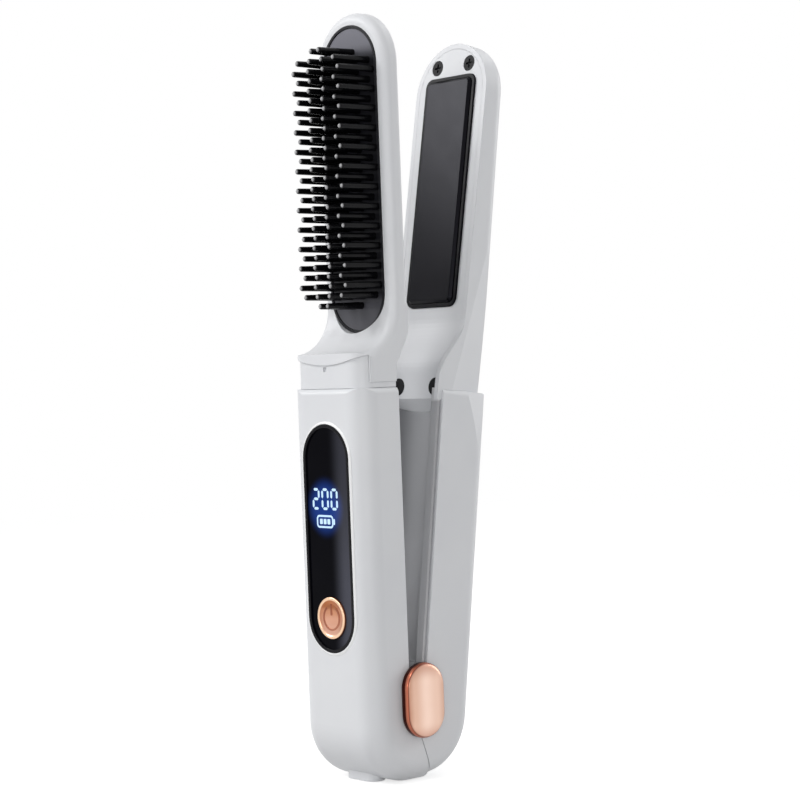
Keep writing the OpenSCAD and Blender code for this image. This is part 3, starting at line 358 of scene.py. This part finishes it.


# cap colours are painted light: the face stops paint the reflection across the domed face, pale in the middle and
# dark towards front and back, the wall stops paint a bright reflection streak between dark bands, and the ends darken
# the top and bottom of the face as painted shade
capLook = {"colour": (0.8, 0.6, 0.5), "shade": (0.70, 0.48, 0.38), "rubbedAndLit": (0.95, 0.8, 0.7),
           "gloss": (0.30, 0.38), "edge": 0.05, "depth": 0.0010, "metal": 1.0, "grain": 1800.0,
           "veil": (160.0, 0.25), "outward": (1, 0, 0), "turn": (0.55, 0.98), "crestHighlight": None,
           "ends": {"axis": "Z", "middle": 22.0, "span": (5.5, 10.6), "share": 0.75, "dark": (0.46, 0.22, 0.15)},
           "faceSpan": ("Y", 0.2, 13.8),
           "face": ((0.0, (0.42, 0.20, 0.13)), (0.16, (0.64, 0.41, 0.31)), (0.46, (0.81, 0.60, 0.50)),
                    (0.74, (0.72, 0.50, 0.40)), (1.0, (0.46, 0.27, 0.20))),
           "wallSpan": ("X", 15.6, 18.6),
           "wall": ((0.0, (0.05, 0.006, 0.004)), (0.46, (0.07, 0.009, 0.005)), (0.56, (0.60, 0.21, 0.13)),
                    (0.76, (0.46, 0.14, 0.085)), (0.88, (0.08, 0.014, 0.009)), (1.0, (0.36, 0.13, 0.08)))}
# button colours are painted light: the face darkens towards the top as painted shade, the wall pales outward, the
# crest is a painted highlight along the rim's top, and the ends darken both sides of the face as painted shade
buttonLook = {**capLook, "gloss": (0.26, 0.34), "shade": (0.50, 0.22, 0.12), "outward": (0, 1, 0), "turn": (0.3, 0.9),
              "ends": {"axis": "X", "middle": 0.0, "span": (2.5, 5.0), "share": 0.75, "dark": (0.40, 0.17, 0.10)},
              "faceSpan": ("Z", 40.4, 50.8),
              "face": ((0.0, (0.64, 0.38, 0.29)), (0.45, (0.62, 0.33, 0.23)), (0.66, (0.52, 0.24, 0.14)),
                       (0.80, (0.32, 0.11, 0.045)), (1.0, (0.40, 0.14, 0.055))),
              "wallSpan": ("Y", 10.2, 10.8), "wall": ((0.0, (0.30, 0.10, 0.05)), (1.0, (0.55, 0.28, 0.18))),
              "crestHighlight": (10.58, 10.74, (0.80, 0.55, 0.37))}
# the power sign's face darkens towards the top as painted shade
markLook = {**buttonLook, "ends": None, "crestHighlight": None,
            "face": ((0.0, (0.36, 0.15, 0.10)), (0.5, (0.30, 0.11, 0.07)), (1.0, (0.15, 0.04, 0.018)))}


def plateFinish(name, look):
    # dark ceramic coating with a fine sparkle
    mat, tree, shader = mouldedFinish(name, look)
    specks = addNode(tree, "ShaderNodeTexVoronoi", {"Vector": objectPoint(tree), "Scale": look["fleckScale"]})
    dust = addNode(tree, "ShaderNodeMapRange", {"Value": specks.outputs["Distance"], "From Min": 0.0,
                                                "From Max": look["fleckReach"], "To Min": 1.0, "To Max": 0.0})
    feed(tree, blendColour(tree, dust.outputs[0], look["colour"], look["fleck"]), shader.inputs["Base Color"])
    shader.inputs["Specular Tint"].default_value = (*look["sheenTint"], 1.0)
    return mat


plateLook = {"colour": (0.0025, 0.0025, 0.0035), "shade": (0.004, 0.004, 0.005), "rubbedAndLit": (0.05, 0.05, 0.055),
             "fleck": (0.004, 0.004, 0.006), "fleckScale": 4200.0, "fleckReach": 0.25, "gloss": (0.17, 0.20),
             "edge": 0.25, "depth": 0.0006, "specular": 0.085, "smear": 200.0, "sheenTint": (0.84, 0.84, 1.0)}


def toothFinish(name, look):
    # black teeth with a painted highlight on their tips, standing on the grey floor of their backing, which darkens
    # in the middle, where the teeth stand close, as painted shade
    mat, tree, shader = mouldedFinish(name, look)
    place = addNode(tree, "ShaderNodeSeparateXYZ", {0: objectPoint(tree)})
    tip = spanOf(tree, place.outputs["Y"], *look["tipHighlightSpan"], kind="SMOOTHSTEP")
    floor = spanOf(tree, place.outputs["Y"], *look["floorSpan"])
    floorToneAndShade = stopsRamp(tree, place.outputs["Z"], *look["groundSpan"], look["floorToneAndShade"])
    shaft = blendColour(tree, cloud(tree, look["shaftDrift"], 0.0, 1.0), look["colour"], look["shade"])
    shaft = blendColour(tree, tip, shaft, look["tip"])
    feed(tree, blendColour(tree, floor, shaft, floorToneAndShade), shader.inputs["Base Color"])
    return mat


# the tip tone is a painted highlight on the tooth ends; the floor's dark middle band is painted shade among the
# teeth, and its grey ends are the floor's own colour
toothLook = {"colour": (0.003, 0.003, 0.004), "shade": (0.005, 0.005, 0.006), "rubbedAndLit": (0.03, 0.03, 0.032),
             "gloss": (0.16, 0.24), "edge": 0.08, "depth": 0.001, "specular": 0.14, "smear": 700.0,
             "shaftDrift": 500.0, "tip": (0.42, 0.42, 0.43), "tipHighlightSpan": (-8.9, -9.25), "floorSpan": (3.40, 3.47),
             "groundSpan": (123.0, 208.0),
             "floorToneAndShade": ((0.0, (0.110, 0.110, 0.124)), (0.085, (0.085, 0.085, 0.097)), (0.14, (0.014, 0.014, 0.017)),
                        (0.88, (0.014, 0.014, 0.017)), (0.94, (0.20, 0.20, 0.23)), (1.0, (0.22, 0.22, 0.25)))}


def insertFinish(name, look):
    # grey scoop with painted light: it pales towards the hinge, lifting the shade deep in the gap, and towards its
    # right side, and a painted light lip runs along its top
    mat, tree, shader = mouldedFinish(name, look)
    place = addNode(tree, "ShaderNodeSeparateXYZ", {0: objectPoint(tree)})
    lip = spanOf(tree, place.outputs["Z"], *look["lipSpan"], kind="SMOOTHSTEP")
    tone = stopsRamp(tree, place.outputs["Z"], *look["climbSpan"], look["paintedLightClimb"])
    side = spanOf(tree, place.outputs["X"], *look["sideSpan"], reach=look["sideShare"], kind="SMOOTHSTEP")
    tone = blendColour(tree, side, tone, look["side"])
    scale, share = look["veil"]
    tone = blendColour(tree, cloud(tree, scale, 0.0, share), tone, look["shade"])
    feed(tree, blendColour(tree, lip, tone, look["rubbedAndLit"]), shader.inputs["Base Color"])
    return mat


# the climb stops pale the scoop towards its lower end as painted light, the side tone pales its right part as painted
# light on the curve, and the pale tone used on rubbed edges also colours the lip along the top as painted light
insertLook = {"colour": (0.40, 0.405, 0.42), "shade": (0.38, 0.385, 0.40), "rubbedAndLit": (0.60, 0.605, 0.62),
              "gloss": (0.42, 0.52), "depth": 0.005, "specular": 0.35, "veil": (60.0, 0.3),
              "side": (0.55, 0.555, 0.57), "sideSpan": (-6.0, 10.0), "sideShare": 0.55, "lipSpan": (103.4, 103.9),
              "climbSpan": (25.0, 110.0),
              "paintedLightClimb": ((0.0, (0.62, 0.625, 0.64)), (0.30, (0.50, 0.505, 0.525)), (0.60, (0.35, 0.355, 0.37)),
                        (1.0, (0.30, 0.305, 0.32)))}


def boardFinish(name, look):
    # solder mask with copper tracks just under it
    mat, tree, shader = mouldedFinish(name, look)
    tracks = addNode(tree, "ShaderNodeTexBrick", {"Vector": objectPoint(tree), "Scale": look["trackScale"],
                                                  "Color1": look["mask"][0], "Color2": look["mask"][1],
                                                  "Mortar": look["copper"], "Mortar Size": look["copperWidth"]})
    feed(tree, tracks.outputs[0], shader.inputs["Base Color"])
    return mat


boardLook = {"colour": (0.010, 0.085, 0.030), "shade": (0.008, 0.070, 0.024), "rubbedAndLit": (0.10, 0.20, 0.10),
             "gloss": (0.3, 0.4), "edge": 0.1, "depth": 0.003, "trackScale": 420.0, "copperWidth": 0.03,
             "mask": ((0.01, 0.085, 0.03, 1), (0.012, 0.10, 0.035, 1)), "copper": (0.05, 0.16, 0.05, 1)}

# the display shines through the lens: millimetres in the lens plane
glowSet = {"x": -1.2, "z": 75.8, "reachX": 9.2, "reachZ": 9.8, "colour": (0.025, 0.10, 0.55),
           "falloff": 1.5, "strength": 0.42}


def lensFinish(name, look, glow):
    mat, tree, shader = mouldedFinish(name, look)
    place = addNode(tree, "ShaderNodeSeparateXYZ", {0: objectPoint(tree)})
    parts = []
    for axis, middle, reach in (("X", glow["x"], glow["reachX"]), ("Z", glow["z"], glow["reachZ"])):
        off = addNode(tree, "ShaderNodeMath", {0: place.outputs[axis], 1: middle * mm}, operation="SUBTRACT")
        ratio = addNode(tree, "ShaderNodeMath", {0: off.outputs[0], 1: reach * mm}, operation="DIVIDE")
        square = addNode(tree, "ShaderNodeMath", {0: ratio.outputs[0], 1: ratio.outputs[0]}, operation="MULTIPLY")
        parts.append(square.outputs[0])
    away = addNode(tree, "ShaderNodeMath", {0: parts[0], 1: parts[1]}, operation="ADD")
    halo = addNode(tree, "ShaderNodeMapRange", {"Value": away.outputs[0], "From Min": 0.0, "From Max": 1.0,
                                                "To Min": 1.0, "To Max": 0.0}, interpolation_type="SMOOTHERSTEP")
    soft = addNode(tree, "ShaderNodeMath", {0: halo.outputs[0], 1: glow["falloff"]}, operation="POWER")
    power = addNode(tree, "ShaderNodeMath", {0: soft.outputs[0], 1: glow["strength"]}, operation="MULTIPLY")
    shader.inputs["Emission Color"].default_value = (*glow["colour"], 1.0)
    feed(tree, power.outputs[0], shader.inputs["Emission Strength"])
    # smoky tint carrying a painted reflection that lightens it towards the right, the more so lower down
    paintedReflection = spanOf(tree, place.outputs["X"], *look["reflectionSpan"], kind="SMOOTHERSTEP")
    low = spanOf(tree, place.outputs["Z"], *look["lowSpan"], start=look["lowShare"], kind="SMOOTHSTEP")
    reflectionMask = addNode(tree, "ShaderNodeMath", {0: paintedReflection, 1: low}, operation="MULTIPLY")
    dark = blendColour(tree, cloud(tree, look["haze"], 0.0, 1.0), look["colour"], look["shade"])
    feed(tree, blendColour(tree, reflectionMask.outputs[0], dark, look["paintedReflection"]), shader.inputs["Base Color"])
    return mat


# the lighter tone towards the right is a painted reflection of a lamp strip
lensLook = {"colour": (0.0015, 0.0015, 0.003), "shade": (0.0025, 0.0025, 0.0045), "rubbedAndLit": (0.02, 0.02, 0.03),
            "gloss": (0.05, 0.09), "edge": 0.05, "depth": 0.0003, "specular": 0.02, "smear": 60.0,
            "haze": 90.0, "paintedReflection": (0.075, 0.077, 0.098), "reflectionSpan": (0.0, 7.5), "lowSpan": (92.0, 50.0),
            "lowShare": 0.5}


def litFinish(name, look):
    # backlit segments, a little uneven along their length
    mat, tree, shader = startFinish(name)
    dim = tuple(part * look["dim"] for part in look["colour"])
    shader.inputs["Base Color"].default_value = look["unlit"]
    shader.inputs["Roughness"].default_value = look["roughness"]
    shader.inputs["Emission Strength"].default_value = look["strength"]
    feed(tree, blendColour(tree, cloud(tree, look["drift"], 0.0, 1.0), look["colour"], dim),
         shader.inputs["Emission Color"])
    return mat


litLook = {"colour": (0.55, 0.78, 1.0), "dim": 0.88, "drift": 900.0, "strength": 1.15, "roughness": 0.3,
           "unlit": (0.02, 0.02, 0.03, 1)}

finishes = {name: mouldedFinish(name, look)[0] for name, look in {**plasticLooks, **metalLooks}.items()}
finishes["capGold"] = roseGoldPaintedLightFinish("capGold", capLook)
finishes["buttonGold"] = roseGoldPaintedLightFinish("buttonGold", buttonLook)
finishes["buttonMark"] = roseGoldPaintedLightFinish("buttonMark", markLook)
finishes["plateCoating"] = plateFinish("plateCoating", plateLook)
finishes["toothBlack"] = toothFinish("toothBlack", toothLook)
finishes["insertGrey"] = insertFinish("insertGrey", insertLook)
finishes["boardGreen"] = boardFinish("boardGreen", boardLook)
finishes["lensGlass"] = lensFinish("lensGlass", lensLook, glowSet)
finishes["segmentLight"] = litFinish("segmentLight", litLook)

nodeFinish = {
    "front_handle_shell": "whiteShell", "collar_ring": "whiteShell", "front_head_shell": "whiteShell",
    "rear_handle_shell": "whiteShell", "rear_head_shell": "whiteShell", "front_inner_cover": "whiteCover",
    "front_head_cover": "whiteCover", "rear_head_cover": "whiteCover", "rear_inner_cover": "insertGrey",
    "comb_base": "combRim", "comb_teeth": "toothBlack", "comb_heater": "heaterMetal",
    "insulation_sheet": "micaSheet", "front_plate_frame": "frameBlack", "rear_plate_frame": "frameBlack",
    "front_plate": "plateCoating", "rear_plate": "plateCoating", "front_plate_heater": "heaterMetal",
    "rear_plate_heater": "heaterMetal", "front_cover_screws": "blackSteel", "head_screws": "blackSteel",
    "neck_screws": "steel", "rubber_plugs": "blackRubber", "plate_cushions": "silicone",
    "thermal_fuse": "ceramicBlock", "panel_bezel": "panelBlack", "panel_lens": "lensGlass",
    "display_module": "displayDark", "power_button": "buttonGold", "button_switch": "switchGrey",
    "circuit_board": "boardGreen", "port_board": "boardGreen", "battery_cell": "cellSleeve",
    "battery_cradle": "cradleGrey", "charging_port": "steel", "port_tongue": "portBlack",
    "hinge_pin": "steel", "hinge_washers": "cradleGrey", "hinge_spring": "steel",
    "hinge_cap_left": "capGold", "hinge_cap_right": "capGold",
}


def dressNodes(table):
    for name, obj in nodes.items():
        for place in obj.material_slots:
            place.material = finishes[table[name]]


dressNodes(nodeFinish)
print("finishes on", len(nodeFinish), "nodes")


def makePiece(name, bm, finish, body, smooth=True):
    bmesh.ops.recalc_face_normals(bm, faces=bm.faces)
    mesh = bpy.data.meshes.new(name)
    bm.to_mesh(mesh)
    bm.free()
    for face in mesh.polygons:
        face.use_smooth = smooth
    mesh.materials.append(finishes[finish])
    obj = bpy.data.objects.new(name, mesh)
    bpy.context.scene.collection.objects.link(obj)
    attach(obj, body)
    return obj


def obroundLoop(width, length, steps=20):
    radius, half = width / 2, (length - width) / 2
    loop = []
    for end in (0, 1):
        for i in range(steps + 1):
            a = math.pi * (i / steps + end)
            loop.append((radius * math.cos(a), (half if end == 0 else -half) + radius * math.sin(a)))
    return loop


def loftLoops(bm, loops, place, closed=False, ends=(False, False)):
    # rings of (u, v) points at a depth, joined in order
    rings = [[bm.verts.new(place(u, v, depth)) for u, v in loop] for loop, depth in loops]
    pairs = list(zip(rings, rings[1:])) + ([(rings[-1], rings[0])] if closed else [])
    for first, second in pairs:
        for i in range(len(first)):
            j = (i + 1) % len(first)
            bm.faces.new((first[i], first[j], second[j], second[i]))
    if ends[0]:
        bm.faces.new(rings[0])
    if ends[1]:
        bm.faces.new(rings[-1])


frontFace = -10.2  # y of the handle's front wall, millimetres


def onPanel(u, v, depth):
    # x and z on the front face, depth standing out of it
    return Vector((u, frontFace - depth, v)) * mm


def addPlate(bm, loop, depths):
    # a flat closed shape with a little thickness
    loftLoops(bm, [(loop, depth) for depth in depths], onPanel, ends=(True, True))


# backlit "200": seven-segment digits, millimetres, standing on the lens
digitSet = {"text": "200", "middle": (-1.2, 78.1), "width": 3.05, "height": 5.95, "pitch": 3.85,
            "stroke": 0.72, "gap": 0.22, "depths": (-0.11, -0.06)}
digitShapes = {"2": "abged", "0": "abcdef"}


def segmentOutline(letter, s):
    w, h, t, g = s["width"] / 2, s["height"] / 2, s["stroke"] / 2, s["gap"]
    x, z = w - t, h - t
    flat = {"a": z, "g": 0.0, "d": -z}
    if letter in flat:
        c, a = flat[letter], x - g
        return [(-a, c), (-a + t, c + t), (a - t, c + t), (a, c), (a - t, c - t), (-a + t, c - t)]
    side = x if letter in "bc" else -x
    low, high = (g, z - g) if letter in "bf" else (-z + g, -g)
    return [(side, low), (side + t, low + t), (side + t, high - t), (side, high), (side - t, high - t),
            (side - t, low + t)]


def buildDigits(s):
    bm = bmesh.new()
    for place, digit in enumerate(s["text"]):
        shift = s["middle"][0] + (place - (len(s["text"]) - 1) / 2) * s["pitch"]
        for letter in digitShapes[digit]:
            outline = [(shift + u, s["middle"][1] + v) for u, v in segmentOutline(letter, s)]
            addPlate(bm, outline, s["depths"])
    return makePiece("displayDigits", bm, "segmentLight", "front_arm", smooth=False)


# battery sign below the digits
batterySet = {"middle": (-1.55, 71.95), "size": (7.0, 3.55), "line": 0.52, "corner": 1.1, "bars": 3,
              "bar": (1.15, 1.45), "barPitch": 1.6, "tip": (0.6, 1.6), "tipGap": 0.08, "softCorner": (0.2, 3),
              "depths": (-0.11, -0.06)}


def roundedLoop(width, height, corner, steps=6):
    loop = []
    for i, (sx, sz) in enumerate(((1, 1), (-1, 1), (-1, -1), (1, -1))):
        for k in range(steps + 1):
            a = math.pi / 2 * (i + k / steps)
            loop.append((sx * (width / 2 - corner) + corner * math.cos(a),
                         sz * (height / 2 - corner) + corner * math.sin(a)))
    return loop


def buildBattery(s):
    bm = bmesh.new()
    cx, cz = s["middle"]
    w, h = s["size"]
    line = s["line"]

    def moved(loop):
        return [(cx + u, cz + v) for u, v in loop]

    outer = moved(roundedLoop(w, h, s["corner"]))
    inner = moved(roundedLoop(w - 2 * line, h - 2 * line, s["corner"] - line))
    low, high = s["depths"]
    loftLoops(bm, [(outer, low), (outer, high), (inner, high), (inner, low)], onPanel, closed=True)
    for i in range(s["bars"]):
        u = cx + (i - (s["bars"] - 1) / 2) * s["barPitch"]
        addPlate(bm, [(u + a, cz + b) for a, b in roundedLoop(*s["bar"], *s["softCorner"])], s["depths"])
    tipAt = cx + (w + s["tip"][0]) / 2 + s["tipGap"]
    tip = [(tipAt + a, cz + b) for a, b in roundedLoop(*s["tip"], *s["softCorner"])]
    addPlate(bm, tip, s["depths"])
    return makePiece("batterySign", bm, "segmentLight", "front_arm", smooth=False)


buildDigits(digitSet)
buildBattery(batterySet)

# white bead round the panel's black rim, paler than the shell as a painted highlight line
beadSet = {"width": 19.2, "length": 62.6, "middle": 67.3, "out": 0.80, "rise": 0.32, "foot": -0.3}


def buildBead(s):
    bm = bmesh.new()
    out, rise, foot = s["out"], s["rise"], s["foot"]
    profile = ((0.0, foot), (0.0, 0.10), (0.08, rise * 0.8), (0.22, rise), (0.45, rise * 0.8), (out - 0.1, 0.06),
               (out, 0.0), (out, foot))
    loops = []
    for offset, depth in profile:
        loop = [(u, v + s["middle"]) for u, v in obroundLoop(s["width"] + 2 * offset, s["length"] + 2 * offset)]
        loops.append((loop, depth))
    loftLoops(bm, loops, onPanel, closed=True)
    return makePiece("panelBead", bm, "beadHighlightWhite", "front_arm")


buildBead(beadSet)

# power button: raised rim, dished face, a ring and bar standing in the dish
# rim: inset from the radius and depth; dish: radius and depth
buttonSet = {"z": 45.6, "radius": 5.8, "sides": 72,
             "rim": ((-0.5, -2.5), (-0.5, -2.0), (0.0, -2.0), (0.0, 0.25), (0.08, 0.45), (0.25, 0.57), (0.5, 0.6),
                     (0.75, 0.56), (0.95, 0.42), (1.15, 0.32)),
             "dish": ((3.9, 0.28), (3.75, 0.22), (3.6, 0.22), (3.45, 0.27), (2.0, 0.235), (0.6, 0.225))}


def buildButton(s):
    bm = bmesh.new()
    outline = [(s["radius"] - inset, depth) for inset, depth in s["rim"]] + list(s["dish"])
    turns = [2 * math.pi * i / s["sides"] for i in range(s["sides"])]
    loops = []
    for radius, depth in outline:
        loops.append(([(radius * math.cos(a), s["z"] + radius * math.sin(a)) for a in turns], depth))
    loftLoops(bm, loops, onPanel, ends=(True, True))
    piece = makePiece("buttonCap", bm, "buttonGold", "button")
    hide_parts("power_button")
    return piece


buildButton(buttonSet)

# power sign in the dish: an open ring and a bar
markSet = {"ring": 3.25, "line": 0.55, "open": 34, "steps": 56, "bar": (0.62, 3.9, 0.7), "corner": 0.25,
           "floor": 0.20, "out": 0.33}


def buildMark(s, button):
    bm = bmesh.new()
    z = button["z"]
    inner, outer = s["ring"] - s["line"] / 2, s["ring"] + s["line"] / 2
    low, high = s["floor"], s["out"]
    start, end = math.radians(90 + s["open"]), math.radians(450 - s["open"])
    rings = []
    for i in range(s["steps"] + 1):
        a = start + (end - start) * i / s["steps"]
        c, d = math.cos(a), math.sin(a)
        spots = ((inner, low), (inner, high), (outer, high), (outer, low))
        rings.append([bm.verts.new(onPanel(r * c, z + r * d, depth)) for r, depth in spots])
    for first, second in zip(rings, rings[1:]):
        for i in range(4):
            j = (i + 1) % 4
            bm.faces.new((first[i], first[j], second[j], second[i]))
    bm.faces.new(rings[0])
    bm.faces.new(rings[-1])
    wide, top, foot = s["bar"]
    bar = roundedLoop(wide, top - foot, s["corner"], 4)
    addPlate(bm, [(u, v + z + (top + foot) / 2) for u, v in bar], (low, high))
    return makePiece("buttonMark", bm, "buttonMark", "button", smooth=False)


buildMark(markSet, buttonSet)
print("panel pieces built")

# hinge caps: obround like the CAD's, a step in from the arm, domed face; inset and x
capSet = {"steps": 28,
          "outline": ((2.2, 15.3), (2.2, 15.62), (0.35, 15.62), (0.1, 15.7), (0.0, 15.9), (0.0, 16.8), (0.03, 17.4),
                      (0.10, 17.8), (0.24, 18.1), (0.46, 18.32), (0.76, 18.48), (1.15, 18.6), (1.7, 18.7),
                      (2.5, 18.78), (3.6, 18.85), (4.8, 18.89), (5.9, 18.9))}


def buildCap(s, side, node):
    bm = bmesh.new()
    low, high = nodeBox(node)
    _, wide, tall = high - low
    _, y, z = (low + high) / 2
    loops = [(obroundLoop(wide - 2 * inset, tall - 2 * inset, s["steps"]), x) for inset, x in s["outline"]]
    loftLoops(bm, loops, lambda u, v, x: Vector((side * x, y + u, z + v)) * mm, ends=(True, True))
    piece = makePiece("capDome" + ("Right" if side > 0 else "Left"), bm, "capGold", "front_arm")
    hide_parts(node)
    return piece


buildCap(capSet, 1, "hinge_cap_right")
buildCap(capSet, -1, "hinge_cap_left")
print("hinge caps built")
